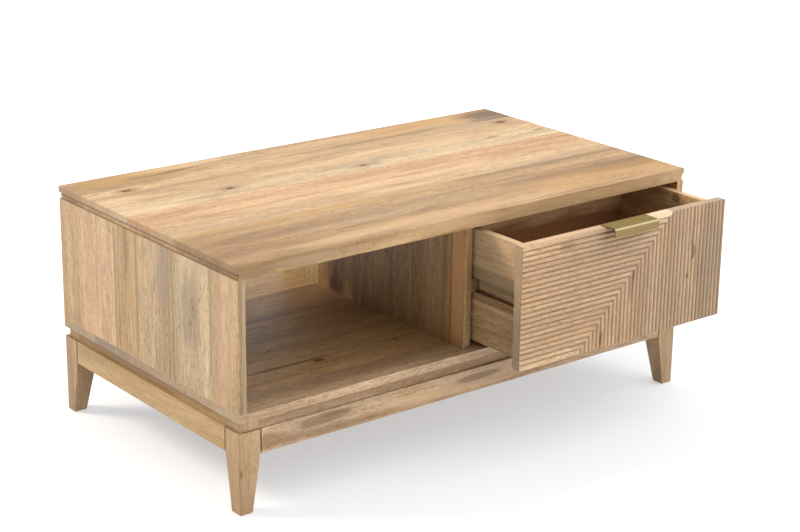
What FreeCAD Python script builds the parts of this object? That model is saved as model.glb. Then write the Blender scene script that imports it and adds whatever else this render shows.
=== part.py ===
import FreeCAD, Part
import math
import os
import re

import Sketcher

# A solid mango-wood coffee table: a box of glued boards on a low frame of tapered legs. The left
# half of the box is a bay open to the front and the back, the right half holds one drawer with a
# ribbed front, which stands pulled out by drawer_pull. Millimetres, +Z up, front towards -Y, with
# the origin on the floor under the middle of the top.

SIZES = {
    # the whole table
    "table_length": 1050,
    "table_depth": 600,
    "table_height": 450,
    # top: its two ends are rebated below, which leaves an upper lip
    "top_thickness": 25,
    "top_lip_height": 12.5,
    "top_end_rebate": 5,
    "top_arris": 1.2,
    # box of boards under the top; the open bay takes its share of the clear length
    "panel_inset": 1,
    "panel_thickness": 16,
    "divider_thickness": 16,
    "floor_thickness": 16,
    "back_thickness": 20,
    "open_bay_share": 0.492,
    # leg frame; a shadow step runs round it under the box
    "base_height": 170,
    "leg_width": 43,
    "foot_width": 25.5,
    "foot_chamfer": 1.5,
    "leg_arris": 2.2,
    "neck_round": 4,
    "apron_height": 63,
    "apron_thickness": 20,
    "step_height": 18.5,
    "step_depth": 6,
    "joint_groove": 2.5,
    "block_reach": 60,
    "block_height": 25,
    # drawer front
    "drawer_pull": 131,
    "front_thickness": 20,
    "front_overlap": 12,
    "front_gap_side": 5,
    "front_gap_top": 4,
    "front_gap_bottom": 2,
    "front_rest_gap": 0.5,
    "front_round": 7,
    "rib_count": 24,
    "rib_depth": 3.2,
    # drawer box
    "side_gap": 10.5,
    "side_thickness": 15,
    "side_length": 250,
    "side_gap_top": 13,
    "side_gap_bottom": 11,
    "lower_board_share": 0.68,
    "drawer_back_thickness": 13,
    "drawer_bottom_thickness": 6,
    "drawer_bottom_rise": 10,
    "bottom_groove_depth": 5,
    "bottom_clearance": 0.15,
    # wooden runners at half the height of the box, bevelled towards the drawer
    "runner_length": 260,
    "runner_height": 26,
    "runner_tip_height": 12,
    "runner_reach": 20,
    "runner_clearance": 0.4,
    # folded brass pull and its pins
    "pull_length": 112,
    "pull_depth": 38,
    "pull_lip": 17,
    "pull_sheet": 2,
    "pull_bend": 3,
    "pull_set_back": 5,
    "pin_diameter": 5,
    "pin_length": 14,
    "pin_spacing": 70,
    "pin_inset": 8,
    "pin_clearance": 0.15,
    # countersunk wood screws
    "screw_diameter": 4,
    "screw_head_diameter": 8,
    "screw_head_height": 3,
    "screw_bite": 10,
    "screw_clearance": 0.2,
    "runner_screw_inset": 45,
    "block_screw_inset": 10,
}

# Widths of the boards glued up into each panel, front to back or bottom to top. They share out
# the panel's own width, so a panel of another size keeps the same pattern of boards.
BOARD_WIDTHS = {
    "top": (123, 72, 77, 78, 64, 100, 86),
    "side": (87, 105, 120, 92, 125, 71),
    "divider": (111, 119, 110, 115, 105),
    "floor": (72, 75, 103, 110, 125, 115),
    "back": (84, 76, 79),
}
for panel, widths in BOARD_WIDTHS.items():
    for place_in_row, width in enumerate(widths, start=1):
        SIZES[f"{panel}_width_{place_in_row}"] = width

# Places that several pieces share, worked out from the sizes
BODY_HALF = "(table_length / 2 - panel_inset)"
DEPTH_HALF = "(table_depth / 2)"
FLOOR_TOP = "(base_height + floor_thickness)"
TOP_UNDERSIDE = "(table_height - top_thickness)"
BOX_HEIGHT = f"({TOP_UNDERSIDE} - {FLOOR_TOP})"
BAY_END = f"({BODY_HALF} - panel_thickness)"
OPEN_BAY = f"((2 * {BAY_END} - divider_thickness) * open_bay_share)"
DIVIDER_LEFT = f"({OPEN_BAY} - {BAY_END})"
DIVIDER_RIGHT = f"({DIVIDER_LEFT} + divider_thickness)"
DIVIDER_FRONT = f"(front_thickness + front_rest_gap - {DEPTH_HALF})"
BACK_FACE = f"({DEPTH_HALF} - back_thickness)"

TAPER_TOP = "(base_height - apron_height)"
STEP_BOTTOM = "(base_height - step_height)"

FRONT_LEFT = f"({DIVIDER_RIGHT} - front_overlap)"
FRONT_WIDTH = f"({BAY_END} - front_gap_side - {FRONT_LEFT})"
FRONT_BOTTOM = f"({FLOOR_TOP} + front_gap_bottom)"
FRONT_HEIGHT = f"({BOX_HEIGHT} - front_gap_bottom - front_gap_top)"
FRONT_FACE = f"(-{DEPTH_HALF} - drawer_pull)"
RIB_PITCH = f"({FRONT_HEIGHT} / rib_count)"
MITRE_FOOT = f"(({FRONT_WIDTH} - {FRONT_HEIGHT}) / 2)"

BOX_FRONT = f"({FRONT_FACE} + front_thickness)"
BOX_BACK = f"({BOX_FRONT} + side_length)"
SIDE_BOTTOM = f"({FLOOR_TOP} + side_gap_bottom)"
SIDE_HEIGHT = f"({BOX_HEIGHT} - side_gap_bottom - side_gap_top)"
GLUE_LINE = f"({SIDE_HEIGHT} * lower_board_share)"
SIDE_INNER_LEFT = f"({DIVIDER_RIGHT} + side_gap + side_thickness)"
SIDE_INNER_RIGHT = f"({BAY_END} - side_gap - side_thickness)"
INNER_WIDTH = f"({SIDE_INNER_RIGHT} - {SIDE_INNER_LEFT})"

RUNNER_LEVEL = f"({FLOOR_TOP} + {BOX_HEIGHT} / 2)"
RUNNER_BOTTOM = f"({RUNNER_LEVEL} - runner_height / 2)"
RUNNER_BEVEL = "((runner_height - runner_tip_height) / 2)"

UP = FreeCAD.Vector(0, 0, 1)
ALONG_Y = FreeCAD.Vector(0, 1, 0)

# Points of a sketched line, arc or circle, and the sketch's own origin
START = 1
END = 2
CENTRE = 3
ORIGIN = (-1, START)

doc = FreeCAD.newDocument("CoffeeTable")
sheet = doc.addObject("Spreadsheet::Sheet", "Sizes")
nodes = []


def fill_sheet():
    for row, (name, number) in enumerate(SIZES.items(), start=1):
        sheet.set(f"A{row}", name)
        sheet.set(f"B{row}", str(number))
        sheet.setAlias(f"B{row}", name)
    doc.recompute()


def sized(text):
    """The expression with every size name pointed at its cell in the sheet."""
    return re.sub(r"[a-z]\w*", lambda word: f"Sizes.{word[0]}" if word[0] in SIZES else word[0], text)


def value(text):
    return float(sheet.evalExpression(sized(text)))


def bind(thing, **settings):
    for setting, text in settings.items():
        thing.setExpression(setting, sized(text))


def place(thing, x, y, z, turn=0, about=UP):
    thing.Placement = FreeCAD.Placement(FreeCAD.Vector(), FreeCAD.Rotation(about, turn))
    for axis, text in zip("xyz", (x, y, z)):
        thing.setExpression(f".Placement.Base.{axis}", sized(text))


def as_node(thing, name):
    """Marks a finished piece as a sub-part of the table, under the name of its file."""
    thing.Label = name
    nodes.append(thing)
    return thing


# Sketches and features

def new_body(name):
    return doc.addObject("PartDesign::Body", f"{name}_body")


def origin_feature(body, role):
    return next(feature for feature in body.Origin.OriginFeatures if feature.Role == role)


def sketch_on(body, role, lift="0"):
    """A sketch on one of the body's own origin planes, or lifted off it along its normal."""
    sketch = body.newObject("Sketcher::SketchObject", "sketch")
    sketch.AttachmentSupport = [(origin_feature(body, role), "")]
    sketch.MapMode = "FlatFace"
    sketch.setExpression("AttachmentOffset.Base.z", sized(lift))
    return sketch


def pin_down(sketch, shape, point, x, y):
    """Holds one point of a sketched line or arc at a place measured from the sketch's origin."""
    for kind, text in (("DistanceX", x), ("DistanceY", y)):
        held = sketch.addConstraint(Sketcher.Constraint(kind, *ORIGIN, shape, point, value(text)))
        sketch.setExpression(f"Constraints[{held}]", sized(text))


def join(sketch, kind, *points):
    sketch.addConstraint(Sketcher.Constraint(kind, *points))


def draw_outline(sketch, corners):
    """A closed outline of straight lines with each corner at its place."""
    points = [FreeCAD.Vector(value(x), value(y), 0) for x, y in corners]
    count = len(points)
    for line in range(count):
        sketch.addGeometry(Part.LineSegment(points[line], points[(line + 1) % count]))
    for line, (x, y) in enumerate(corners):
        join(sketch, "Coincident", line, END, (line + 1) % count, START)
        pin_down(sketch, line, START, x, y)


def draw_rectangle(sketch, x0, y0, x1, y1):
    draw_outline(sketch, ((x0, y0), (x1, y0), (x1, y1), (x0, y1)))


def draw_circle(sketch, x, y, radius):
    centre = FreeCAD.Vector(value(x), value(y), 0)
    circle = sketch.addGeometry(Part.Circle(centre, UP, value(radius)))
    pin_down(sketch, circle, CENTRE, x, y)
    held = sketch.addConstraint(Sketcher.Constraint("Radius", circle, value(radius)))
    sketch.setExpression(f"Constraints[{held}]", sized(radius))


def pad(body, sketch, length, backwards=False):
    feature = body.newObject("PartDesign::Pad", "pad")
    feature.Profile = sketch
    feature.Reversed = backwards
    bind(feature, Length=length)
    return feature


def pocket(body, sketch):
    """A cut right through the body, from the sketch along its normal."""
    feature = body.newObject("PartDesign::Pocket", "pocket")
    feature.Profile = sketch
    feature.Type = "ThroughAll"
    feature.Reversed = True
    return feature


def edges_where(feature, test):
    """Names of the feature's straight edges whose two ends both pass the test."""
    doc.recompute()
    return [
        f"Edge{number}"
        for number, edge in enumerate(feature.Shape.Edges, start=1)
        if len(edge.Vertexes) == 2 and all(test(*vertex.Point) for vertex in edge.Vertexes)
    ]


def ease_edges(body, kind, base, size, test):
    """A fillet or a chamfer along the edges that pass the test."""
    feature = body.newObject(f"PartDesign::{kind}", kind.lower())
    feature.Base = (base, edges_where(base, test))
    bind(feature, **{"Radius" if kind == "Fillet" else "Size": size})
    return feature


def near(a, b):
    tolerance = 1e-4
    return abs(a - b) < tolerance


def profile_bar(name, corners, length):
    """A bar of one section, drawn across X and Z, that runs back along +Y."""
    body = new_body(name)
    sketch = sketch_on(body, "XZ_Plane")
    draw_outline(sketch, corners)
    pad(body, sketch, length, backwards=True)
    return body


def box(name, length, width, height):
    board = doc.addObject("Part::Box", f"{name}_box")
    bind(board, Length=length, Width=width, Height=height)
    return board


# Panels of glued boards

def glued(panel, whole):
    """Start and width of each board of a panel, where whole is the width that they share out."""
    count = len(BOARD_WIDTHS[panel])
    names = [f"{panel}_width_{board}" for board in range(1, count + 1)]
    total = f"({' + '.join(names)})"
    for board, name in enumerate(names):
        before = " + ".join(["0", *names[:board]])
        yield board + 1, f"({whole} * ({before}) / {total})", f"({whole} * {name} / {total})"


def top_boards():
    end = "(table_length / 2)"
    lip = "(top_thickness - top_lip_height)"
    shoulder = f"({end} - top_end_rebate)"
    right = [
        (shoulder, "0"),
        (shoulder, lip),
        (end, lip),
        (end, "top_thickness - top_arris"),
        (f"{end} - top_arris", "top_thickness"),
    ]
    left = [(f"-({x})", z) for x, z in reversed(right)]
    last = len(BOARD_WIDTHS["top"])
    for board, start, width in glued("top", "table_depth"):
        body = profile_bar(f"top_board_{board}", right + left, width)
        outer = {1: 0, last: value(width)}.get(board)
        if outer is not None:
            top = value("top_thickness")
            ease_edges(body, "Chamfer", body.Tip, "top_arris",
                       lambda x, y, z: near(y, outer) and near(z, top))
        place(body, "0", f"{start} - {DEPTH_HALF}", TOP_UNDERSIDE)
        as_node(body, f"top_board_{board}")


def side_boards(hand, outer_face):
    """The boards of the left or right side, upright, from the front to the back."""
    for board, start, width in glued("side", "table_depth"):
        upright = box("side_board", "panel_thickness", width, BOX_HEIGHT)
        place(upright, outer_face, f"{start} - {DEPTH_HALF}", FLOOR_TOP)
        yield f"{hand}_side_board_{board}", upright


def divider_boards():
    depth = f"({BACK_FACE} - {DIVIDER_FRONT})"
    for board, start, width in glued("divider", depth):
        upright = box("divider_board", "divider_thickness", width, BOX_HEIGHT)
        place(upright, DIVIDER_LEFT, f"{start} + {DIVIDER_FRONT}", FLOOR_TOP)
        yield f"divider_board_{board}", upright


def floor_boards():
    for board, start, width in glued("floor", "table_depth"):
        plank = box("floor_board", f"2 * {BODY_HALF}", width, "floor_thickness")
        place(plank, f"-{BODY_HALF}", f"{start} - {DEPTH_HALF}", "base_height")
        yield f"floor_board_{board}", plank


def back_boards():
    for board, start, height in glued("back", BOX_HEIGHT):
        plank = box("back_board", f"{BAY_END} - {DIVIDER_LEFT}", "back_thickness", height)
        place(plank, DIVIDER_LEFT, BACK_FACE, f"{start} + {FLOOR_TOP}")
        as_node(plank, f"back_board_{board}")


# Screws and the holes that they sit in

def screw(clearance="0"):
    """A countersunk screw along +Z, its head flush at the bottom, or the hole that clears one."""
    head = doc.addObject("Part::Cone", "screw_head")
    bind(
        head,
        Radius1=f"screw_head_diameter / 2 + {clearance}",
        Radius2=f"screw_diameter / 2 + {clearance}",
        Height="screw_head_height",
    )
    shank = doc.addObject("Part::Cylinder", "screw_shank")
    bind(shank, Radius=f"screw_diameter / 2 + {clearance}")
    whole = doc.addObject("Part::Fuse", "screw")
    whole.Base = head
    whole.Tool = shank
    return whole, shank


def screw_set(spots, turn_about, through):
    """Screws at the given spots with the holes for them; through is the piece that each fastens."""
    made = {"screws": [], "holes": []}
    for kind, clearance in (("screws", "0"), ("holes", "screw_clearance")):
        for x, y, z, turn in spots:
            whole, shank = screw(clearance)
            bind(shank, Height=f"{through} + screw_bite + {clearance}")
            place(whole, x, y, z, turn, turn_about)
            made[kind].append(whole)
    groups = []
    for kind, members in made.items():
        group = doc.addObject("Part::Compound", kind)
        group.Links = members
        groups.append(group)
    return groups


def drilled(piece, holes, name):
    cut = doc.addObject("Part::Cut", f"{name}_drilled")
    cut.Base = piece
    cut.Tool = holes
    return as_node(cut, name)


# Leg frame

CORNERS = {
    "front_left": (f"-{BODY_HALF}", f"-{DEPTH_HALF}", 0),
    "front_right": (BODY_HALF, f"-{DEPTH_HALF}", 90),
    "back_right": (BODY_HALF, DEPTH_HALF, 180),
    "back_left": (f"-{BODY_HALF}", DEPTH_HALF, 270),
}


def leg(name, x, y, turn):
    """A leg with its outer corner at the origin: straight above, tapered on its two inner faces."""
    body = new_body(name)
    side = sketch_on(body, "XZ_Plane")
    draw_outline(side, (
        ("0", "0"),
        ("foot_width", "0"),
        ("leg_width", TAPER_TOP),
        ("leg_width", "base_height"),
        ("0", "base_height"),
    ))
    pad(body, side, "leg_width", backwards=True)
    taper = sketch_on(body, "YZ_Plane")
    draw_outline(taper, (("foot_width", "0"), ("leg_width", "0"), ("leg_width", TAPER_TOP)))
    pocket(body, taper)
    step = sketch_on(body, "XY_Plane", STEP_BOTTOM)
    draw_outline(step, (
        ("0", "0"),
        ("leg_width", "0"),
        ("leg_width", "step_depth"),
        ("step_depth", "step_depth"),
        ("step_depth", "leg_width"),
        ("0", "leg_width"),
    ))
    stepped = pocket(body, step)
    inset = value("step_depth")
    rounded = ease_edges(body, "Fillet", stepped, "neck_round",
                         lambda x, y, z: near(x, inset) and near(y, inset))
    eased = ease_edges(body, "Fillet", rounded, "leg_arris",
                       lambda x, y, z: near(x, 0) and near(y, 0))
    ease_edges(body, "Chamfer", eased, "foot_chamfer", lambda x, y, z: near(z, 0))
    place(body, x, y, "0", turn)
    as_node(body, f"leg_{name}")


def apron(name, length, x, y, turn):
    """A rail between two legs. Its face stops short of them and of the box, in a shadow groove."""
    body = new_body(name)
    core = sketch_on(body, "XY_Plane")
    draw_rectangle(core, "0", "step_depth", length, "apron_thickness")
    pad(body, core, "apron_height")
    face = sketch_on(body, "XY_Plane")
    draw_rectangle(face, "joint_groove", "0", f"{length} - joint_groove", "step_depth")
    pad(body, face, "apron_height - step_height")
    place(body, x, y, TAPER_TOP, turn)
    as_node(body, f"apron_{name}")


def aprons():
    leg_in_x = f"({BODY_HALF} - leg_width)"
    leg_in_y = f"({DEPTH_HALF} - leg_width)"
    apron("front", f"2 * {leg_in_x}", f"-{leg_in_x}", f"-{DEPTH_HALF}", 0)
    apron("right", f"2 * {leg_in_y}", BODY_HALF, f"-{leg_in_y}", 90)
    apron("back", f"2 * {leg_in_x}", leg_in_x, DEPTH_HALF, 180)
    apron("left", f"2 * {leg_in_y}", f"-{BODY_HALF}", leg_in_y, 270)


def corner_block(x, y, turn):
    """A brace that wraps the inner corner of a leg and sits against its two aprons."""
    reach = "(leg_width + block_reach)"
    body = new_body("corner_block")
    outline = sketch_on(body, "XY_Plane")
    draw_outline(outline, (
        ("leg_width", "apron_thickness"),
        (reach, "apron_thickness"),
        ("apron_thickness", reach),
        ("apron_thickness", "leg_width"),
        ("leg_width", "leg_width"),
    ))
    pad(body, outline, "block_height")
    place(body, x, y, "base_height - block_height", turn)
    return body


def block_screw_spots():
    """One screw in the middle of each corner block, up into the floor boards."""
    x = f"({BODY_HALF} - leg_width - block_screw_inset)"
    y = f"({DEPTH_HALF} - leg_width - block_screw_inset)"
    for x_sign in ("-", ""):
        for y_sign in ("-", ""):
            yield f"{x_sign}{x}", f"{y_sign}{y}", "base_height - block_height", 0


def leg_frame():
    for name, corner in CORNERS.items():
        leg(name, *corner)
    aprons()
    screws, holes = screw_set(list(block_screw_spots()), UP, "block_height")
    for name, corner in CORNERS.items():
        drilled(corner_block(*corner), holes, f"corner_block_{name}")
    for name, plank in floor_boards():
        drilled(plank, holes, name)
    as_node(screws, "block_screws")


# Runners

def runner(x, y, turn):
    """A hardwood runner, square across the gap beside the drawer and bevelled in the square groove."""
    tip_top = f"(runner_height - {RUNNER_BEVEL})"
    bar = profile_bar("runner", (
        ("0", "0"),
        ("side_gap", "0"),
        ("runner_reach", RUNNER_BEVEL),
        ("runner_reach", tip_top),
        ("side_gap", "runner_height"),
        ("0", "runner_height"),
    ), "runner_length")
    place(bar, x, y, RUNNER_BOTTOM, turn)
    return bar


def box_sides_and_runners():
    """The sides, divider and runners, with the runners screwed to the boards beside the drawer."""
    runner_back = f"({DIVIDER_FRONT} + runner_length)"
    rows = (f"{DIVIDER_FRONT} + runner_screw_inset", f"{runner_back} - runner_screw_inset")
    spots = [(f"{DIVIDER_RIGHT} + runner_reach", y, RUNNER_LEVEL, -90) for y in rows]
    spots += [(f"{BAY_END} - runner_reach", y, RUNNER_LEVEL, 90) for y in rows]
    screws, holes = screw_set(spots, ALONG_Y, "runner_reach")
    drilled(runner(DIVIDER_RIGHT, DIVIDER_FRONT, 0), holes, "runner_left")
    drilled(runner(BAY_END, runner_back, 180), holes, "runner_right")
    for name, upright in side_boards("left", f"-{BODY_HALF}"):
        as_node(upright, name)
    for name, upright in (*divider_boards(), *side_boards("right", BAY_END)):
        drilled(upright, holes, name)
    as_node(screws, "runner_screws")


# Drawer

def draw_rib_groove(sketch):
    """The hollow between two neighbouring ribs, from crest to crest with both flanks rounded."""
    half = value(RIB_PITCH) / 2
    depth = value("rib_depth")
    radius = (depth**2 + half**2) / (2 * depth)
    swing = math.asin(half / radius)
    low = FreeCAD.Vector(0, half, 0)
    high = FreeCAD.Vector(0, 3 * half, 0)
    inwards = FreeCAD.Vector(radius, 0, 0)
    below = Part.Circle(low + inwards, UP, radius)
    above = Part.Circle(high + inwards, UP, radius)
    crests = sketch.addGeometry(Part.LineSegment(low, high))
    lower = sketch.addGeometry(Part.ArcOfCircle(below, math.pi - swing, math.pi))
    upper = sketch.addGeometry(Part.ArcOfCircle(above, math.pi, math.pi + swing))
    join(sketch, "Tangent", crests, START, lower, END)
    join(sketch, "Tangent", crests, END, upper, START)
    join(sketch, "Coincident", lower, START, upper, END)
    pin_down(sketch, crests, START, "0", f"{RIB_PITCH} / 2")
    pin_down(sketch, crests, END, "0", f"{RIB_PITCH} * 3 / 2")
    pin_down(sketch, lower, START, "rib_depth", RIB_PITCH)


def ribbed_board(name, corners, groove_count):
    """A board of the drawer front, whose ribs run along X and stand on each other along Z."""
    body = new_body(name)
    outline = sketch_on(body, "XZ_Plane")
    draw_outline(outline, corners)
    pad(body, outline, "front_thickness", backwards=True)
    groove = sketch_on(body, "YZ_Plane")
    draw_rib_groove(groove)
    cut = pocket(body, groove)
    ribs = body.newObject("PartDesign::LinearPattern", "ribs")
    ribs.Originals = [cut]
    ribs.Direction = (origin_feature(body, "Z_Axis"), [""])
    bind(ribs, Occurrences=groove_count, Length=f"{RIB_PITCH} * ({groove_count} - 1)")
    body.Tip = ribs
    return body


def pull_centre():
    return f"({FRONT_WIDTH} / 2)"


def pin_places():
    """Middles of the pull's two pins, from the drawer front's left end and its ribbed face."""
    depth = "(front_thickness - pull_set_back - pin_inset)"
    return [(f"{pull_centre()} {sign} pin_spacing / 2", depth) for sign in "-+"]


def drawer_front_left():
    """The left board: ribs run level and end on a 45 degree mitre through the front's middle."""
    body = ribbed_board("drawer_front_left", (
        ("0", "0"),
        (MITRE_FOOT, "0"),
        (f"{MITRE_FOOT} + {FRONT_HEIGHT}", FRONT_HEIGHT),
        ("0", FRONT_HEIGHT),
    ), "(rib_count - 1)")
    back = value("front_thickness")
    ease_edges(body, "Fillet", body.Tip, "front_round",
               lambda x, y, z: near(z, 0) and near(y, back))
    holes = sketch_on(body, "XY_Plane", FRONT_HEIGHT)
    for x, y in pin_places():
        draw_circle(holes, x, y, "pin_diameter / 2 + pin_clearance")
    drill = body.newObject("PartDesign::Pocket", "pin_holes")
    drill.Profile = holes
    bind(drill, Length="pin_length + pin_clearance")
    place(body, FRONT_LEFT, FRONT_FACE, FRONT_BOTTOM)
    as_node(body, "drawer_front_left")


def drawer_front_right():
    """The right board: upright ribs that carry on from the level ones at the mitre."""
    width = f"({FRONT_WIDTH} - {MITRE_FOOT})"
    body = ribbed_board("drawer_front_right", (
        (FRONT_HEIGHT, "0"),
        (FRONT_HEIGHT, width),
        ("0", width),
        ("0", FRONT_HEIGHT),
    ), f"(ceil({width} / {RIB_PITCH}) - 1)")
    back = value("front_thickness")
    bottom = value(FRONT_HEIGHT)
    ease_edges(body, "Fillet", body.Tip, "front_round",
               lambda x, y, z: near(x, bottom) and near(y, back))
    front_top = f"{FRONT_BOTTOM} + {FRONT_HEIGHT}"
    place(body, f"{FRONT_LEFT} + {MITRE_FOOT}", FRONT_FACE, front_top, 90, ALONG_Y)
    as_node(body, "drawer_front_right")


def lower_side_board(name):
    """The lower board of a drawer side, grooved for runner and bottom, with its outer face at X = 0."""
    panel_low = "(drawer_bottom_rise - bottom_clearance)"
    panel_high = "(drawer_bottom_rise + drawer_bottom_thickness + bottom_clearance)"
    panel_in = "(side_thickness - bottom_groove_depth)"
    level = f"({RUNNER_BOTTOM} - {SIDE_BOTTOM})"
    depth = "(runner_reach - side_gap + runner_clearance)"
    return profile_bar(name, (
        ("0", "0"),
        ("side_thickness", "0"),
        ("side_thickness", panel_low),
        (panel_in, panel_low),
        (panel_in, panel_high),
        ("side_thickness", panel_high),
        ("side_thickness", GLUE_LINE),
        ("0", GLUE_LINE),
        ("0", f"{level} + runner_height + runner_clearance"),
        (depth, f"{level} + runner_height + runner_clearance"),
        (depth, f"{level} - runner_clearance"),
        ("0", f"{level} - runner_clearance"),
    ), "side_length")


def drawer_sides():
    left = f"{DIVIDER_RIGHT} + side_gap"
    right = f"{BAY_END} - side_gap"
    for hand, x, y, turn in (("left", left, BOX_FRONT, 0), ("right", right, BOX_BACK, 180)):
        lower = lower_side_board(f"drawer_side_{hand}_lower")
        place(lower, x, y, SIDE_BOTTOM, turn)
        as_node(lower, f"drawer_side_{hand}_lower")
        upper = box("drawer_side_upper", "side_thickness", "side_length", f"{SIDE_HEIGHT} - {GLUE_LINE}")
        place(upper, x, y, f"{SIDE_BOTTOM} + {GLUE_LINE}", turn)
        as_node(upper, f"drawer_side_{hand}_upper")


def drawer_back_and_bottom():
    rise = "(drawer_bottom_rise + drawer_bottom_thickness)"
    back = box("drawer_back", INNER_WIDTH, "drawer_back_thickness", f"{SIDE_HEIGHT} - {rise}")
    place(back, SIDE_INNER_LEFT, f"{BOX_BACK} - drawer_back_thickness", f"{SIDE_BOTTOM} + {rise}")
    as_node(back, "drawer_back")
    tongue = "(bottom_groove_depth - bottom_clearance)"
    bottom = box("drawer_bottom", f"{INNER_WIDTH} + 2 * {tongue}", "side_length",
                 "drawer_bottom_thickness")
    place(bottom, f"{SIDE_INNER_LEFT} - {tongue}", BOX_FRONT, f"{SIDE_BOTTOM} + drawer_bottom_rise")
    as_node(bottom, "drawer_bottom")


def pull():
    """A brass sheet folded once: it lies on the drawer front and its lip hangs in front of it."""
    body = new_body("pull")
    section = sketch_on(body, "YZ_Plane")
    draw_outline(section, (
        ("0", "0"),
        ("0", "pull_sheet"),
        ("-pull_depth", "pull_sheet"),
        ("-pull_depth", "pull_sheet - pull_lip"),
        ("pull_sheet - pull_depth", "pull_sheet - pull_lip"),
        ("pull_sheet - pull_depth", "0"),
    ))
    folded = pad(body, section, "pull_length")
    sheet_in = value("pull_sheet - pull_depth")
    outside = value("pull_depth")
    inner = ease_edges(body, "Fillet", folded, "pull_bend - pull_sheet",
                       lambda x, y, z: near(y, sheet_in) and near(z, 0))
    ease_edges(body, "Fillet", inner, "pull_bend",
               lambda x, y, z: near(y, -outside) and z > 0)
    front_top = f"{FRONT_BOTTOM} + {FRONT_HEIGHT}"
    rear = f"{FRONT_FACE} + front_thickness - pull_set_back"
    place(body, f"{FRONT_LEFT} + {pull_centre()} - pull_length / 2", rear, front_top)
    as_node(body, "drawer_pull")


def pull_pins():
    pins = []
    for x, y in pin_places():
        pin = doc.addObject("Part::Cylinder", "pull_pin")
        bind(pin, Radius="pin_diameter / 2", Height="pin_length")
        low = f"{FRONT_BOTTOM} + {FRONT_HEIGHT} - pin_length"
        place(pin, f"{FRONT_LEFT} + {x}", f"{FRONT_FACE} + {y}", low)
        pins.append(pin)
    group = doc.addObject("Part::Compound", "pull_pins")
    group.Links = pins
    as_node(group, "pull_pins")


def drawer():
    drawer_front_left()
    drawer_front_right()
    drawer_sides()
    drawer_back_and_bottom()
    pull()
    pull_pins()


# The finished document

def check_document():
    doc.recompute()
    failed = [thing.Label for thing in doc.Objects if {"Invalid", "Error"} & set(thing.State)]
    failed += [node.Label for node in nodes if node.Shape.isNull() or not node.Shape.isValid()]
    if failed:
        raise RuntimeError(f"These did not build: {sorted(set(failed))}")


def write_parts():
    os.makedirs("parts", exist_ok=True)
    for node in nodes:
        node.Shape.exportStep(f"parts/{node.Label}.step")


fill_sheet()
top_boards()
leg_frame()
back_boards()
box_sides_and_runners()
drawer()
check_document()
write_parts()
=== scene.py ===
import math

import bpy
from mathutils import Euler, Matrix, Vector


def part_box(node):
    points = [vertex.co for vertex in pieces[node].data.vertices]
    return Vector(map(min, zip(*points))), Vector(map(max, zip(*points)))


# A mango-wood coffee table, all of whose pieces are CAD nodes. This script gives each board its own
# piece of wood, finishes the brass pull and the screws, and sets up the floor, light and camera.

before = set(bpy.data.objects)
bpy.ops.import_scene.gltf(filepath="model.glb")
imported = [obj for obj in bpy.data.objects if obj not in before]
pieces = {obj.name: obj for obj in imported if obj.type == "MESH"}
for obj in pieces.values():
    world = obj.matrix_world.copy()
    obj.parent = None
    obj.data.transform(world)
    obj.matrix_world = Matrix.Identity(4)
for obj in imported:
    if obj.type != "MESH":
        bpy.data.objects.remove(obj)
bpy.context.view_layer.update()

MM = 0.001


def linear(colour):
    """An sRGB hex colour as linear RGBA."""
    channels = [int(colour[place:place + 2], 16) / 255 for place in (0, 2, 4)]
    return (*[c / 12.92 if c <= 0.04045 else ((c + 0.055) / 1.055) ** 2.4 for c in channels], 1.0)


def node(tree, kind, inputs=None, **settings):
    """Adds one shader node with its settings, its input values and the links into it."""
    made = tree.nodes.new(f"ShaderNode{kind}")
    for name, setting in settings.items():
        setattr(made, name, setting)
    for name, given in (inputs or {}).items():
        socket = made.inputs[name] if isinstance(name, int) else next(
            s for s in made.inputs if s.enabled and s.name == name)
        if isinstance(given, bpy.types.Node):
            given = next(s for s in given.outputs if s.enabled)
        if isinstance(given, bpy.types.NodeSocket):
            tree.links.new(given, socket)
        else:
            socket.default_value = given
    return made


def new_material(name):
    """A material with an empty node tree."""
    material = bpy.data.materials.new(name)
    material.use_nodes = True
    material.node_tree.nodes.clear()
    return material, material.node_tree


def per_mm(along, across):
    """Scale that gives a pattern its length along the grain and its width across it."""
    return (1 / (along * MM), 1 / (across * MM), 1 / (across * MM))


# Mango wood, planed, sanded and sealed with a satin lacquer. The lacquer is thin, so the eye gets
# the wood itself: tan, pink and olive boards with cloudy bands, soft growth rings, a few dark
# mineral lines, short dark pores and small knots, under a low even gloss.
LACQUER_IOR = 1.5
LACQUER_SPECULAR = 0.3
LACQUER_ROUGHNESS = (0.42, 0.58)
FIBRE_DEPTH = 0.3
FIBRE_STRENGTH = 0.12

# Boards sorted by tone: the light wood, its deeper heart, and the darker wood of rings and lines
TONES = {
    "apricot": ("d6b186", "c59f74", "95724f"),
    "cream": ("c2ab88", "b19a77", "866f50"),
    "pale": ("bd9d75", "aa8a65", "826644"),
    "sand": ("c1a582", "b09471", "856a4c"),
    "rose": ("bf9f7d", "ad8d6b", "826648"),
    "peach": ("bb966f", "aa855f", "815e3c"),
    "ash": ("b6a07f", "a48e6d", "796447"),
    "flax": ("b4997a", "a28666", "7c5e41"),
    "honey": ("b39771", "a0835e", "7a5c3a"),
    "olive": ("ae9573", "9a8260", "6e593b"),
    "amber": ("a9895e", "94754e", "6c5030"),
    "wheat": ("af9166", "9a7d56", "725636"),
    "tawny": ("aa8e6c", "967a5a", "6d5233"),
    "umber": ("9b7a54", "866843", "5b4127"),
    "cocoa": ("826544", "705437", "4a3520"),
}
PORE = "5b3f27"
CLOUD_GREY = "8d7b5e"
GOLD = "b18d5a"

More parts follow.
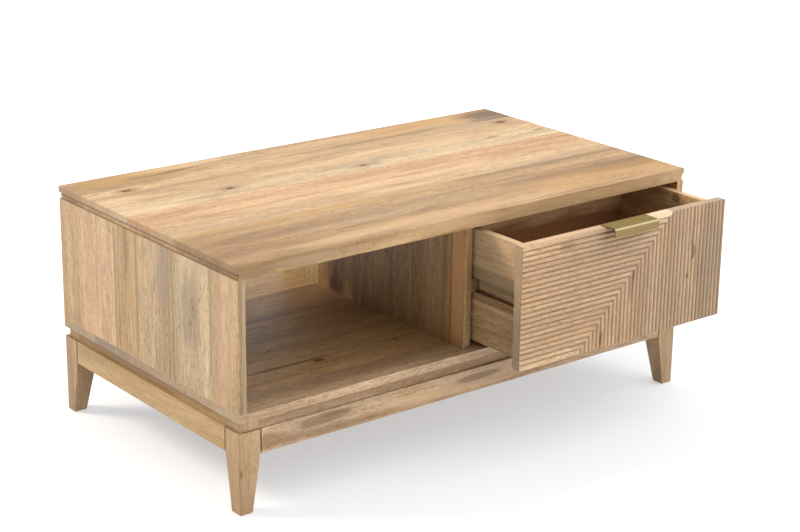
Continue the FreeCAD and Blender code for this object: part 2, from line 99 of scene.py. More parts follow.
# Sizes of the wood's patterns in mm along and across the grain, and their levels of detail. Rings,
# fibres, flecks, pores and specks are drawn coarser than real ones, which are too fine to show from
# here.
PATTERNS = {
    "drift": (620, 44, 2),
    "cloud": (130, 17, 3),
    "tint": (380, 30, 2),
    "gold": (210, 26, 3),
    "smoke": (90, 13, 4),
    "line": (150, 6, 3),
    "fibre": (40, 3, 2),
    "fleck": (14, 6, 2),
    "pore": (14, 4.5, 1),
    "speck": (7, 2.8, 1),
}
SWAY_PATTERN = (480, 110, 4)
SWAY = 13

# Where in the drift the heart wood starts and is full
HEART_RANGE = (0.36, 0.64)

# Growth rings: their spacing in mm, how slowly they change along the grain, and how they show
RING_SPACING = 6.5
RING_DETAIL = 2
RING_TAPER = 0.08
RING_RANGE = (0.50, 0.68)
RING_STRENGTH = 0.55

# Where the pith lies from a board's middle, in mm: up to this far across, and this far behind, more
# or less by the shift. The steps, in radians, vary that from board to board.
PITH_ACROSS = 45
PITH_BEHIND = 75
PITH_SHIFT = 30
PITH_STEPS = (3.1, 5.3)

# What the patterns do in turn: where each starts and is full, how strong it is, and its colour,
# or None for the board's own dark wood
LAYERS = (
    ("tint", 0.50, 0.68, 0.38, CLOUD_GREY),
    ("cloud", 0.46, 0.72, 0.26, None),
    ("gold", 0.54, 0.68, 0.34, GOLD),
    ("smoke", 0.60, 0.68, 0.34, None),
    ("line", 0.56, 0.67, 0.36, None),
    ("fibre", 0.47, 0.62, 0.36, None),
    ("fleck", 0.53, 0.66, 0.30, None),
    ("pore", 0.60, 0.68, 0.32, PORE),
    ("speck", 0.53, 0.64, 0.34, None),
)

# How a board is turned so that its grain runs along X, and how far apart in the wood, in metres,
# the boards are cut
TURN = {"X": (0, 0, 0), "Y": (0, 0, -math.pi / 2), "Z": (0, math.pi / 2, 0)}
CUT_STEP = Vector((0.73, 0.31, 0.47))

# The tones of the boards of each panel in turn, and of the other pieces by how their names start
BOARD_TONES = {
    "top_board": ("amber", "amber", "pale", "peach", "cream", "pale", "honey"),
    "left_side_board": ("olive", "ash", "olive", "honey", "rose", "honey"),
    "right_side_board": ("peach", "ash", "honey", "olive", "peach", "honey"),
    "divider_board": ("amber", "umber", "umber", "amber", "honey"),
    "floor_board": ("flax", "amber", "amber", "umber", "cocoa", "amber"),
    "back_board": ("honey", "ash", "peach"),
}
PIECE_TONES = {
    "leg": "tawny",
    "apron_front": "flax",
    "apron": "wheat",
    "corner_block": "ash",
    "runner": "umber",
    "drawer_front": "rose",
    "drawer_side_left_upper": "sand",
    "drawer_side_left_lower": "honey",
    "drawer_side": "apricot",
    "drawer_back": "apricot",
    "drawer_bottom": "pale",
}

# Pieces whose wood runs upright, or from front to back; the rest runs along the table
UPRIGHT_GRAIN = ("left_side", "right_side", "divider", "leg", "drawer_front_right")
DEEP_GRAIN = ("apron_left", "apron_right", "drawer_side", "runner")

# Plain pieces, cut from quieter wood
CALM_PIECES = ("apron_left", "apron_right", "leg", "drawer_back", "drawer_side_left_upper")
CALM = 0.55

# End grain drinks more lacquer and is darker, or grey where it was sanded finer. It shows where a
# face is nearly square to the grain.
END_RANGE = (0.75, 0.9)
END_SHARE = 0.55
SANDED_END = "8c7d69"
SANDED_SHARE = 0.5
SANDED_PIECES = ("floor_board", "drawer_front", "left_side", "right_side")

# Gathered lacquer and painted shade darken the hollows between the drawer front's ribs. In mm, the
# Y of their crests and of the bottoms between them, and how far behind the bottoms it ends and is
# full.
RIB_CREST = -431
RIB_BOTTOM = -427.8
POOL_AND_SHADE_END = 0.6
POOL_AND_SHADE_FULL = 0.1
POOL_AND_SHADE_SHARE = 0.6

# The rebates at the top's ends keep the board's plain colour, without its darker end grain, and
# painted shade darkens their corner under the lip. In mm, a rebate's face, the underside of the lip
# over it with a little slack, and how far below the lip the painted shade starts and is full.
LIP_FACE = 519.9
LIP_BOTTOM = 437.5
LIP_SLACK = 0.1
LIP_SHADE = "52310f"
LIP_SHADE_START = 9
LIP_SHADE_FULL = 3
LIP_SHADE_SHARE = 0.7

# Marks in the wood, some of them painted shade: the layers of each kind, with their size beside the
# mark's, how soft their edge is, their colour and their strength
MARK_LAYERS = {
    "knot": ((2.4, 0.9, "84592f", 0.55), (1.0, 0.5, "4a2610", 0.94)),
    "stain_and_shade": ((1.0, 1.1, "6a4a2a", 0.55),),
    "grey": ((1.0, 0.8, "786853", 0.62),),
    "sap": ((1.0, 0.7, "b28152", 0.75),),
    "rub_and_shade": ((1.0, 0.5, "4a3521", 0.75),),
    "pale": ((1.0, 0.9, "bd9b72", 0.4),),
    "crack": ((1.0, 0.6, "472811", 0.85),),
    "dusk": ((1.0, 1.2, "84705a", 0.42),),
    "smudge": ((1.0, 0.9, "6b5432", 0.6),),
    "blond": ((1.0, 1.0, "d3b48c", 0.28),),
    "white": ((1.0, 0.6, "d2bb9d", 0.6),),
    "blush": ((1.0, 1.0, "ae876b", 0.3),),
    "eye": ((1.5, 0.5, "5b4630", 0.65), (0.8, 0.5, "a98a66", 0.7), (0.35, 0.4, "4a3520", 0.8)),
    "heart": ((1.3, 0.8, "5f4322", 0.7), (0.9, 0.6, "4a3826", 0.65)),
    "gold": ((1.0, 0.9, "a8854f", 0.42),),
    "ochre": ((1.0, 0.9, "9a7028", 0.38),),
    "russet": ((1.0, 0.9, "743a12", 0.8),),
    "flame": ((1.0, 0.5, "6a5038", 0.66),),
}
# How ragged the marks' edges are, and which kinds are ragged finely; how much the grain swells
# round a knot, and how many times its size that reaches
RAGGED = 1.8
FINE_MARKS = ("knot", "crack")
SWELL = 0.7
SWELL_REACH = 3.2

# Knots, stains and painted shade of single boards: kind, place, length and width in mm
MARKS = {
    "top_board_1": (
        ("stain_and_shade", (-480, -262, 450), 300, 110), ("smudge", (-490, -301, 437), 110, 22),
        ("stain_and_shade", (400, -188, 450), 420, 60), ("stain_and_shade", (-350, -186, 450), 440, 36),
        ("smudge", (450, -200, 450), 260, 66), ("pale", (-100, -268, 450), 700, 50),
        ("stain_and_shade", (470, -206, 450), 200, 56), ("dusk", (-360, -301, 437), 240, 16),
        ("dusk", (-140, -198, 450), 420, 46), ("pale", (140, -304, 437), 760, 30),
        ("ochre", (380, -236, 450), 420, 90),
    ),
    "top_board_2": (
        ("gold", (-250, -112, 450), 620, 34), ("smudge", (340, -110, 450), 420, 30),
    ),
    "top_board_3": (
        ("blond", (-30, -46, 450), 640, 36), ("blond", (-30, -84, 450), 140, 24),
        ("dusk", (-430, -88, 450), 300, 32), ("dusk", (300, -90, 450), 300, 24),
    ),
    "top_board_4": (
        ("blond", (-150, -8, 450), 620, 30),
    ),
    "top_board_5": (
        ("blond", (-480, 80, 450), 200, 50), ("blond", (-170, 96, 450), 180, 28),
        ("grey", (-276, 96, 450), 70, 18), ("knot", (-276, 97, 450), 15, 10),
        ("grey", (23, 79, 450), 70, 18), ("knot", (24, 81, 450), 12, 9),
        ("knot", (373, 101, 450), 20, 4), ("crack", (496, 96, 450), 34, 5),
    ),
    "top_board_6": (
        ("blond", (170, 138, 450), 560, 40), ("blond", (-480, 140, 450), 160, 44),
        ("dusk", (440, 196, 450), 240, 40), ("knot", (-441, 192, 450), 24, 11),
        ("knot", (472, 186, 450), 24, 14),
    ),
    "top_board_7": (
        ("smudge", (-440, 250, 450), 320, 84), ("gold", (-380, 268, 450), 260, 44),
        ("ochre", (-400, 255, 450), 300, 56), ("smudge", (-345, 254, 450), 110, 14),
        ("ochre", (330, 258, 450), 420, 70), ("rub_and_shade", (-285, 262, 450), 90, 7),
        ("blond", (-250, 284, 450), 200, 30), ("gold", (380, 256, 450), 280, 80),
        ("heart", (497, 244, 450), 120, 90), ("dusk", (380, 228, 450), 240, 30),
        ("smudge", (150, 222, 450), 360, 16),
    ),
    "left_side_board_1": (
        ("grey", (-514, -303, 300), 420, 14), ("smudge", (-519, -302, 300), 420, 9),
        ("blush", (-524, -262, 350), 280, 60), ("blush", (-524, -248, 220), 160, 40),
    ),
    "left_side_board_2": (
        ("eye", (-524, -162, 339), 22, 12), ("knot", (-524, -154, 310), 9, 5),
        ("grey", (-524, -150, 330), 150, 60),
    ),
    "left_side_board_3": (
        ("grey", (-524, -70, 380), 150, 40), ("gold", (-524, -20, 330), 220, 14),
    ),
    "left_side_board_4": (
        ("gold", (-524, 36, 330), 240, 14), ("smudge", (-524, 25, 320), 260, 8),
        ("smudge", (-524, 60, 390), 130, 14),
    ),
    "divider_board_1": (
        ("sap", (-16, -258, 305), 420, 40), ("stain_and_shade", (-16, -241, 305), 340, 7),
        # painted shade on the front edge beside the gap to the drawer
        ("stain_and_shade", (-6, -282, 305), 460, 11),
    ),
    "divider_board_4": (
        # the large stains: partly a stain round the knot, partly painted shade low at the back of
        # the bay
        ("stain_and_shade", (-16, 122, 240), 240, 100), ("stain_and_shade", (-16, 122, 222), 110, 30),
        ("crack", (-16, 118, 214), 52, 14), ("rub_and_shade", (-16, 110, 204), 44, 34),
        ("crack", (-16, 124, 202), 24, 24),
    ),
    "floor_board_1": (
        # painted shade: the floor darker behind its front edge, under the top
        ("stain_and_shade", (-240, -240, 196), 620, 64),
    ),
    "floor_board_2": (
        ("knot", (-84, -162, 186), 14, 6), ("knot", (-262, -166, 186), 24, 12),
        ("crack", (-320, -157, 186), 230, 7), ("stain_and_shade", (-340, -152, 186), 260, 5),
    ),
    "floor_board_3": (
        ("knot", (-312, -78, 186), 12, 6), ("knot", (-524, -130, 173), 20, 6),
    ),
    "floor_board_4": (
        # painted shade, darker towards the divider at the back of the open bay
        ("stain_and_shade", (-40, 55, 186), 240, 110),
    ),
    "floor_board_5": (
        # painted shade, darker towards the divider at the back of the open bay
        ("stain_and_shade", (-50, 125, 186), 200, 110),
    ),
    "leg_front_left": (
        ("knot", (-521, -300, 78), 10, 3),
    ),
    "apron_left": (
        # painted shade in the recessed gap along the apron's top
        ("stain_and_shade", (-516, 0, 161), 640, 20),
    ),
    "apron_front": (
        # the first mark: painted shade in the recessed gap along the apron's top
        ("stain_and_shade", (0, -292, 161), 1150, 20), ("blond", (-60, -300, 126), 320, 34),
        ("dusk", (-355, -300, 139), 150, 36), ("flame", (-354, -300, 138), 110, 18),
        ("flame", (-316, -300, 143), 60, 7), ("dusk", (6, -300, 133), 140, 26),
        ("flame", (4, -300, 133), 100, 13), ("stain_and_shade", (-466, -300, 128), 70, 26),
        ("stain_and_shade", (-330, -300, 116), 300, 14),
    ),
    "drawer_side_left_lower": (
        ("grey", (10, -330, 322), 420, 46), ("stain_and_shade", (10, -385, 287), 90, 18),
        ("stain_and_shade", (10, -330, 285), 110, 24), ("blond", (10, -331, 273), 150, 7),
        # painted shade along the bottom of the runner's groove
        ("rub_and_shade", (15.5, -300, 293), 600, 10),
    ),
    "drawer_back": (
        # the russet mark: partly redder wood, partly painted warm shade low inside the drawer
        ("russet", (270, -174, 315), 900, 88), ("blond", (220, -174, 402), 460, 44),
    ),
    "drawer_side_right_upper": (
        ("eye", (482, -322, 401), 15, 12),
    ),
    "drawer_front_left": (
        ("stain_and_shade", (95, -431, 402), 44, 18), ("stain_and_shade", (107, -431, 181), 30, 14),
        ("dusk", (210, -431, 370), 260, 130), ("white", (340, -421, 421), 70, 30),
        ("blond", (90, -420, 424), 220, 12),
    ),
    "drawer_front_right": (
        ("stain_and_shade", (420, -431, 360), 90, 8), ("crack", (418, -431, 352), 22, 7),
        ("crack", (423, -431, 332), 26, 12), ("crack", (449, -431, 296), 44, 6),
        ("crack", (409, -431, 285), 12, 9), ("crack", (265, -431, 318), 24, 7),
        ("stain_and_shade", (262, -431, 300), 60, 9), ("stain_and_shade", (436, -431, 320), 90, 7),
        ("crack", (187, -431, 206), 44, 6), ("stain_and_shade", (216, -431, 236), 70, 8),
        ("grey", (470, -431, 300), 300, 60), ("dusk", (400, -431, 290), 420, 330),
    ),
}


def grain_of(name):
    """The axis that the wood of a piece runs along."""
    if name.startswith(UPRIGHT_GRAIN):
        return "Z"
    return "Y" if name.startswith(DEEP_GRAIN) else "X"


def tone_of(name):
    """The tone of a piece, by its number in a panel or else by how its name starts."""
    family, _, number = name.rpartition("_")
    if family in BOARD_TONES:
        return BOARD_TONES[family][int(number) - 1]
    return next(tone for start, tone in PIECE_TONES.items() if name.startswith(start))


def swayed_grain(tree, straight):
    """The grain of a board, swaying along its length."""
    along, across, detail = SWAY_PATTERN
    slow = node(tree, "VectorMath", {0: straight, 1: per_mm(along, across)}, operation="MULTIPLY")
    sway = node(tree, "TexNoise", {"Vector": slow, "Scale": 1, "Detail": detail})
    centred = node(tree, "VectorMath", {
        0: sway.outputs["Color"], 1: (0.5, 0.5, 0.5)}, operation="SUBTRACT")
    return node(tree, "VectorMath", {
        0: centred, 1: (0, 2 * SWAY * MM, 2 * SWAY * MM), 2: straight}, operation="MULTIPLY_ADD")


def place_marks(tree, straight, bent, marks, in_wood):
    """The kind of each mark with the distance from it, which is 1 at its edge, and the grain,
    swollen round the knots."""
    spots = []
    for kind, place, length, width in marks:
        centre = in_wood(Vector(place) * MM)
        away = node(tree, "VectorMath", {0: straight, 1: centre}, operation="SUBTRACT")
        sized = node(tree, "VectorMath", {
            0: away, 1: per_mm(length / 2, width / 2)}, operation="MULTIPLY")
        reach = node(tree, "VectorMath", {0: sized}, operation="LENGTH")
        spots.append((kind, reach))
        if kind == "knot":
            swell = node(tree, "MapRange", {
                "Value": reach, "From Min": SWELL_REACH, "From Max": 0, "To Max": SWELL},
                interpolation_type="SMOOTHSTEP")
            bulge = node(tree, "VectorMath", {0: away, "Scale": swell}, operation="SCALE")
            bent = node(tree, "VectorMath", {0: bent, 1: bulge}, operation="SUBTRACT")
    return spots, bent


def growth_rings(tree, bent, pith):
    """Rings of uneven width about a pith that lies beside the board."""
    rooted = node(tree, "VectorMath", {0: bent, 1: pith}, operation="SUBTRACT")
    drawn_out = node(tree, "VectorMath", {0: rooted, 1: (RING_TAPER, 1, 1)}, operation="MULTIPLY")
    distance = node(tree, "VectorMath", {0: drawn_out}, operation="LENGTH")
    count = node(tree, "Math", {0: distance, 1: 1 / (RING_SPACING * MM)}, operation="MULTIPLY")
    return node(tree, "TexNoise", {
        "W": count, "Scale": 1, "Detail": RING_DETAIL}, noise_dimensions="1D")


def grown_colour(tree, tones, figure, pattern, rings):
    """The wood's colour: light wood and heart, the rings in the heart, and then the patterns.
    figure is how strongly the board is marked by them."""
    light, deep, dark = tones
    heart_low, heart_high = HEART_RANGE
    ring_low, ring_high = RING_RANGE
    shade = node(tree, "MapRange", {
        "Value": pattern["drift"], "From Min": heart_low, "From Max": heart_high},
        interpolation_type="SMOOTHSTEP")
    colour = node(tree, "Mix", {"Factor": shade, "A": light, "B": deep}, data_type="RGBA")
    line = node(tree, "MapRange", {
        "Value": rings, "From Min": ring_low, "From Max": ring_high,
        "To Max": RING_STRENGTH * figure})
    shown = node(tree, "Math", {0: line, 1: shade}, operation="MULTIPLY")
    colour = node(tree, "Mix", {"Factor": shown, "A": colour, "B": dark}, data_type="RGBA")
    for kind, low, high, strength, hue in LAYERS:
        share = node(tree, "MapRange", {
            "Value": pattern[kind], "From Min": low, "From Max": high, "To Max": strength * figure})
        colour = node(tree, "Mix", {
            "Factor": share, "A": colour, "B": linear(hue) if hue else dark}, data_type="RGBA")
    return colour


def marked(tree, colour, spots, pattern):
    """The wood with its marks, whose edges are ragged."""
    for kind, reach in spots:
        rough = pattern["line" if kind in FINE_MARKS else "cloud"]
        ragged = node(tree, "Math", {0: rough, 1: RAGGED, 2: reach}, operation="MULTIPLY_ADD")
        for size, edge, hue, strength in MARK_LAYERS[kind]:
            share = node(tree, "MapRange", {
                "Value": ragged, "From Min": RAGGED / 2 + size * (1 + edge / 2),
                "From Max": RAGGED / 2 + size * (1 - edge / 2), "To Max": strength},
                interpolation_type="SMOOTHSTEP")
            colour = node(tree, "Mix", {
                "Factor": share, "A": colour, "B": linear(hue)}, data_type="RGBA")
    return colour


def ended(tree, colour, where, turn, end_colour, end_share):
    """The wood with its end grain."""
    end_low, end_high = END_RANGE
    facing = node(tree, "Mapping", {"Vector": where.outputs["Normal"], "Rotation": turn})
    lengthways = node(tree, "SeparateXYZ", {"Vector": facing})
    square_on = node(tree, "Math", {0: lengthways.outputs["X"]}, operation="ABSOLUTE")
    end = node(tree, "MapRange", {
        "Value": square_on, "From Min": end_low, "From Max": end_high, "To Max": end_share})
    return node(tree, "Mix", {"Factor": end, "A": colour, "B": end_colour}, data_type="RGBA")


def pooled_and_shaded(tree, colour, where, dark):
    """The wood darkened between the ribs by gathered lacquer and by painted shade."""
    place = node(tree, "SeparateXYZ", {"Vector": where.outputs["Object"]})
    sunk = node(tree, "MapRange", {
        "Value": place.outputs["Y"], "From Min": RIB_CREST * MM, "From Max": RIB_BOTTOM * MM,
        "To Max": POOL_AND_SHADE_SHARE})
    carved = node(tree, "MapRange", {
        "Value": place.outputs["Y"], "From Min": (RIB_BOTTOM + POOL_AND_SHADE_END) * MM,
        "From Max": (RIB_BOTTOM + POOL_AND_SHADE_FULL) * MM})
    lacquer_and_shade = node(tree, "Math", {0: sunk, 1: carved}, operation="MULTIPLY")
    return node(tree, "Mix", {"Factor": lacquer_and_shade, "A": colour, "B": dark}, data_type="RGBA")


def rebated(tree, colour, where, plain):
    """The wood with its end rebates in plain wood, and painted shade in their corners under the
    lip.
    """
    place = node(tree, "SeparateXYZ", {"Vector": where.outputs["Object"]})
    outward = node(tree, "Math", {0: place.outputs["X"]}, operation="ABSOLUTE")
    beyond = node(tree, "Math", {0: outward, 1: LIP_FACE * MM}, operation="GREATER_THAN")
    below = node(tree, "Math", {
        0: place.outputs["Z"], 1: (LIP_BOTTOM + LIP_SLACK) * MM}, operation="LESS_THAN")
    rebate = node(tree, "Math", {0: beyond, 1: below}, operation="MULTIPLY")
    colour = node(tree, "Mix", {"Factor": rebate, "A": colour, "B": plain}, data_type="RGBA")
    # painted shade, darker towards the underside of the lip
    near = node(tree, "MapRange", {
        "Value": place.outputs["Z"], "From Min": (LIP_BOTTOM - LIP_SHADE_START) * MM,
        "From Max": (LIP_BOTTOM - LIP_SHADE_FULL) * MM, "To Max": LIP_SHADE_SHARE})
    lip_shaded = node(tree, "Math", {0: rebate, 1: near}, operation="MULTIPLY")
    return node(tree, "Mix", {"Factor": lip_shaded, "A": colour, "B": linear(LIP_SHADE)}, data_type="RGBA")


def mango(name, seed, middle):
    """One board of mango. The seed is its turn to be cut, and middle is its centre."""
    tones = [linear(colour) for colour in TONES[tone_of(name)]]
    dark = tones[-1]
    figure = CALM if name.startswith(CALM_PIECES) else 1
    turn = TURN[grain_of(name)]
    turned = Euler(turn).to_matrix()
    offset = CUT_STEP * seed

    def in_wood(point):
        """A point of the table, as a place in the wood that the board is cut from."""
        return turned @ point + offset

    material, tree = new_material(f"mango_lacquered_{name}")
    where = node(tree, "TexCoord")
    straight = node(tree, "Mapping", {
        "Vector": where.outputs["Object"], "Location": offset, "Rotation": turn})
    bent = swayed_grain(tree, straight)
    spots, bent = place_marks(tree, straight, bent, MARKS.get(name, ()), in_wood)

    pattern = {}
    for kind, (along, across, detail) in PATTERNS.items():
        scaled = node(tree, "VectorMath", {0: bent, 1: per_mm(along, across)}, operation="MULTIPLY")
        pattern[kind] = node(tree, "TexNoise", {"Vector": scaled, "Scale": 1, "Detail": detail})
    step_across, step_behind = PITH_STEPS
    pith = in_wood(middle) + Vector((
        0, PITH_ACROSS * math.sin(step_across * seed),
        PITH_BEHIND + PITH_SHIFT * math.cos(step_behind * seed))) * MM
    rings = growth_rings(tree, bent, pith)

    plain = marked(tree, grown_colour(tree, tones, figure, pattern, rings), spots, pattern)
    sanded = name.startswith(SANDED_PIECES)
    end_colour, end_share = (linear(SANDED_END), SANDED_SHARE) if sanded else (dark, END_SHARE)
    colour = ended(tree, plain, where, turn, end_colour, end_share)
    # gathered lacquer and painted shade darken the hollows between the ribs
    if name.startswith("drawer_front"):
        colour = pooled_and_shaded(tree, colour, where, dark)
    # the top's end rebates keep plain wood, with painted shade under the lip
    if name.startswith("top_board"):
        colour = rebated(tree, colour, where, plain)

    smooth, rough = LACQUER_ROUGHNESS
    gloss = node(tree, "MapRange", {"Value": pattern["fibre"], "To Min": smooth, "To Max": rough})
    relief = node(tree, "Bump", {
        "Height": pattern["fibre"], "Strength": FIBRE_STRENGTH, "Distance": FIBRE_DEPTH * MM})
    shader = node(tree, "BsdfPrincipled", {
        "Base Color": colour, "Roughness": gloss, "Normal": relief,
        "IOR": LACQUER_IOR, "Specular IOR Level": LACQUER_SPECULAR})
    node(tree, "OutputMaterial", {"Surface": shader})
    return material


# Brass sheet, folded, brushed along its length and left without lacquer. It has dulled to an olive
# gold, and the fine brushing spreads its highlights along the pull. A painted highlight, a pale
# line, runs along the fold. The brush lines are drawn coarser than real ones, so that they show.
BRASS_PIECES = ("drawer_pull", "pull_pins")
BRASS = ("7b6848", "67553a")
# the colour of the painted highlight along the fold
BRASS_FOLD_HIGHLIGHT = "978b6d"
BRASS_GLINT = "faedc7"
BRASS_ROUGHNESS = (0.26, 0.42)

# The brushing's length and width in mm, and its level of detail, depth and strength
BRUSHING = (60, 0.8, 2)
BRUSH_DEPTH = 0.05
BRUSH_STRENGTH = 0.1

# The fold's front and top in mm, and how far in from them the painted highlight starts and is full
FOLD_FRONT = -454
FOLD_TOP = 423
HIGHLIGHT_START = 3
HIGHLIGHT_FULL = 1


def brushed_brass():
    """The brass of the pull and its pins."""
    material, tree = new_material("brass_brushed_dulled")
    where = node(tree, "TexCoord")
    along, across, detail = BRUSHING
    scaled = node(tree, "VectorMath", {
        0: where.outputs["Object"], 1: per_mm(along, across)}, operation="MULTIPLY")
    brushing = node(tree, "TexNoise", {"Vector": scaled, "Scale": 1, "Detail": detail})
    gold, olive = (linear(colour) for colour in BRASS)
    colour = node(tree, "Mix", {"Factor": brushing, "A": gold, "B": olive}, data_type="RGBA")
    smooth, rough = BRASS_ROUGHNESS
    gloss = node(tree, "MapRange", {"Value": brushing, "To Min": smooth, "To Max": rough})

    front_start, front_full = ((FOLD_FRONT + inward) * MM for inward in (HIGHLIGHT_START, HIGHLIGHT_FULL))
    top_start, top_full = ((FOLD_TOP - inward) * MM for inward in (HIGHLIGHT_START, HIGHLIGHT_FULL))
    place = node(tree, "SeparateXYZ", {"Vector": where.outputs["Object"]})
    forward = node(tree, "MapRange", {
        "Value": place.outputs["Y"], "From Min": front_start, "From Max": front_full})
    upward = node(tree, "MapRange", {
        "Value": place.outputs["Z"], "From Min": top_start, "From Max": top_full})
    either = node(tree, "Math", {0: forward, 1: upward}, operation="MAXIMUM")
    at_front = node(tree, "Math", {0: place.outputs["Y"], 1: front_start}, operation="LESS_THAN")
    at_top = node(tree, "Math", {0: place.outputs["Z"], 1: top_start}, operation="GREATER_THAN")
    fold = node(tree, "Math", {0: at_front, 1: at_top}, operation="MULTIPLY")
    fold_highlight = node(tree, "Math", {0: either, 1: fold}, operation="MULTIPLY")
    # painted highlight: a pale line along the fold
    colour = node(tree, "Mix", {
        "Factor": fold_highlight, "A": colour, "B": linear(BRASS_FOLD_HIGHLIGHT)}, data_type="RGBA")

    relief = node(tree, "Bump", {
        "Height": brushing, "Strength": BRUSH_STRENGTH, "Distance": BRUSH_DEPTH * MM})
    shader = node(tree, "BsdfPrincipled", {
        "Base Color": colour, "Metallic": 1, "Roughness": gloss, "Normal": relief,
        "Specular Tint": linear(BRASS_GLINT)})
    node(tree, "OutputMaterial", {"Surface": shader})
    return material


# Steel screws, cold-headed and zinc plated: a pale grey, faintly mottled metal
ZINC = ("b8bbbf", "9da1a6")
ZINC_ROUGHNESS = 0.35
MOTTLE = 1.5
MOTTLE_DETAIL = 2


def zinc_steel():
    """The plated steel of the screws."""
    material, tree = new_material("steel_zinc_plated")
    where = node(tree, "TexCoord")
    scaled = node(tree, "VectorMath", {
        0: where.outputs["Object"], 1: per_mm(MOTTLE, MOTTLE)}, operation="MULTIPLY")
    mottle = node(tree, "TexNoise", {"Vector": scaled, "Scale": 1, "Detail": MOTTLE_DETAIL})
    bright, dull = (linear(colour) for colour in ZINC)
    colour = node(tree, "Mix", {"Factor": mottle, "A": bright, "B": dull}, data_type="RGBA")
    shader = node(tree, "BsdfPrincipled", {
        "Base Color": colour, "Metallic": 1, "Roughness": ZINC_ROUGHNESS})
    node(tree, "OutputMaterial", {"Surface": shader})
    return material


def finish_pieces():
    """Gives each piece its own board of mango, or its metal."""
    brass = brushed_brass()
    steel = zinc_steel()
    for seed, (name, piece) in enumerate(sorted(pieces.items()), start=1):
        if name in BRASS_PIECES:
            material = brass
        elif name.endswith("_screws"):
            material = steel
        else:
            low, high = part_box(name)
            material = mango(name, seed, (low + high) / 2)
        piece.data.materials.clear()
        piece.data.materials.append(material)


# Studio floor of cast white acrylic, matted, with a painted glow as if lit from beneath: an almost
# even white with a trace of cloudiness. The painted glow grows away from the table, so the far
# floor is white and the shadow stays soft and pale. The floor's reach is in metres, the other sizes
# in mm.
FLOOR_HALF = 12
ACRYLIC = ("b3b4b5", "b0b1b2")
ACRYLIC_ROUGHNESS = 0.9
ACRYLIC_SPECULAR = 0.1
CLOUD = 900
CLOUD_DETAIL = 1
GLOW = "e2e3e5"
NEAR_GLOW = 0.59
FAR_GLOW = 1.9
GLOW_NEAR = 640
GLOW_FAR = 1700


def lay_floor():
    """A floor that reaches past the picture."""
    mesh = bpy.data.meshes.new("studio_floor")
    corners = [(-FLOOR_HALF, -FLOOR_HALF, 0), (FLOOR_HALF, -FLOOR_HALF, 0),
               (FLOOR_HALF, FLOOR_HALF, 0), (-FLOOR_HALF, FLOOR_HALF, 0)]
    mesh.from_pydata(corners, [], [(0, 1, 2, 3)])
    floor = bpy.data.objects.new("studio_floor", mesh)
    bpy.context.scene.collection.objects.link(floor)

    material, tree = new_material("acrylic_cast_matted")
    where = node(tree, "TexCoord")
    scaled = node(tree, "VectorMath", {
        0: where.outputs["Object"], 1: per_mm(CLOUD, CLOUD)}, operation="MULTIPLY")
    cloud = node(tree, "TexNoise", {"Vector": scaled, "Scale": 1, "Detail": CLOUD_DETAIL})
    clear, cloudy = (linear(colour) for colour in ACRYLIC)
    colour = node(tree, "Mix", {"Factor": cloud, "A": clear, "B": cloudy}, data_type="RGBA")
    # painted glow, growing with the distance from the table
    distance = node(tree, "VectorMath", {0: where.outputs["Object"]}, operation="LENGTH")
    glow = node(tree, "MapRange", {
        "Value": distance, "From Min": GLOW_NEAR * MM, "From Max": GLOW_FAR * MM,
        "To Min": NEAR_GLOW, "To Max": FAR_GLOW}, interpolation_type="SMOOTHSTEP")
    shader = node(tree, "BsdfPrincipled", {
        "Base Color": colour, "Roughness": ACRYLIC_ROUGHNESS,
        "Specular IOR Level": ACRYLIC_SPECULAR,
        "Emission Color": linear(GLOW), "Emission Strength": glow})
    node(tree, "OutputMaterial", {"Surface": shader})
    mesh.materials.append(material)


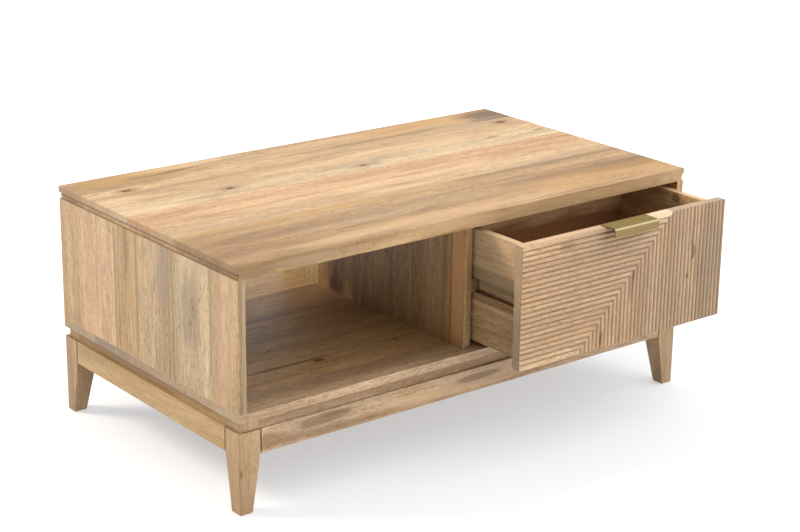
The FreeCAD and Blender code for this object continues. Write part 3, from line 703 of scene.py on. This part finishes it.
# Soft light: a white room, brighter overhead and to the right; a lamp behind on the left, whose
# soft beam clears the top and falls on the open drawer; a broad, weak one above on the right; and a
# broad one in front. Each lamp has the direction that it shines from, its strength, its spread in
# degrees and its colour.
ROOM_WHITE = "ffffff"
ROOM_LIGHT = 0.75
ROOM_SLOPE = (0.7, -0.15, 0.7)
LAMPS = {
    "lamp_behind": (Vector((-0.46, 0.5, 0.6)), 3.1, 20, "fff4e6"),
    "lamp_above": (Vector((0.57, -0.36, 0.73)), 0.5, 44, "ffffff"),
    "lamp_in_front": (Vector((0.3, -0.85, 0.22)), 1.25, 56, "f0f5ff"),
}


def aimed(place, aim):
    """A place that looks at a point, level from side to side."""
    turned = (aim - place).to_track_quat("-Z", "Y").to_matrix().to_4x4()
    return Matrix.Translation(place) @ turned


def set_light():
    """The room's even light, and the lamps."""
    world = bpy.data.worlds.new("white_room")
    world.use_nodes = True
    tree = world.node_tree
    tree.nodes.clear()
    around = node(tree, "TexCoord")
    slope = node(tree, "VectorMath", {
        0: around.outputs["Generated"], 1: ROOM_SLOPE}, operation="DOT_PRODUCT")
    brightness = node(tree, "Math", {0: slope, 1: ROOM_LIGHT}, operation="ADD")
    light = node(tree, "Background", {"Color": linear(ROOM_WHITE), "Strength": brightness})
    node(tree, "OutputWorld", {"Surface": light})
    bpy.context.scene.world = world
    for name, (way, strength, spread, colour) in LAMPS.items():
        lamp = bpy.data.lights.new(name, "SUN")
        lamp.energy = strength
        lamp.color = linear(colour)[:3]
        lamp.angle = math.radians(spread)
        holder = bpy.data.objects.new(name, lamp)
        holder.matrix_world = aimed(way, Vector())
        bpy.context.scene.collection.objects.link(holder)
    bpy.context.scene.view_settings.view_transform = "Standard"


# Camera at the photograph's angle, rolled slightly as that was; lens and sensor are in mm
CAMERA_PLACE = Vector((-2.16302, -2.79570, 1.44476))
CAMERA_AIM = Vector((0.01927, -0.04527, 0.27739))
CAMERA_ROLL = math.radians(0.767)
CAMERA_LENS = 86.23
CAMERA_SENSOR = 36


def set_camera():
    """The camera that the picture is taken with."""
    camera = bpy.data.cameras.new("camera")
    camera.lens = CAMERA_LENS
    camera.sensor_width = CAMERA_SENSOR
    holder = bpy.data.objects.new("camera", camera)
    holder.matrix_world = aimed(CAMERA_PLACE, CAMERA_AIM) @ Matrix.Rotation(CAMERA_ROLL, 4, "Z")
    bpy.context.scene.collection.objects.link(holder)
    bpy.context.scene.camera = holder


finish_pieces()
lay_floor()
set_light()
set_camera()
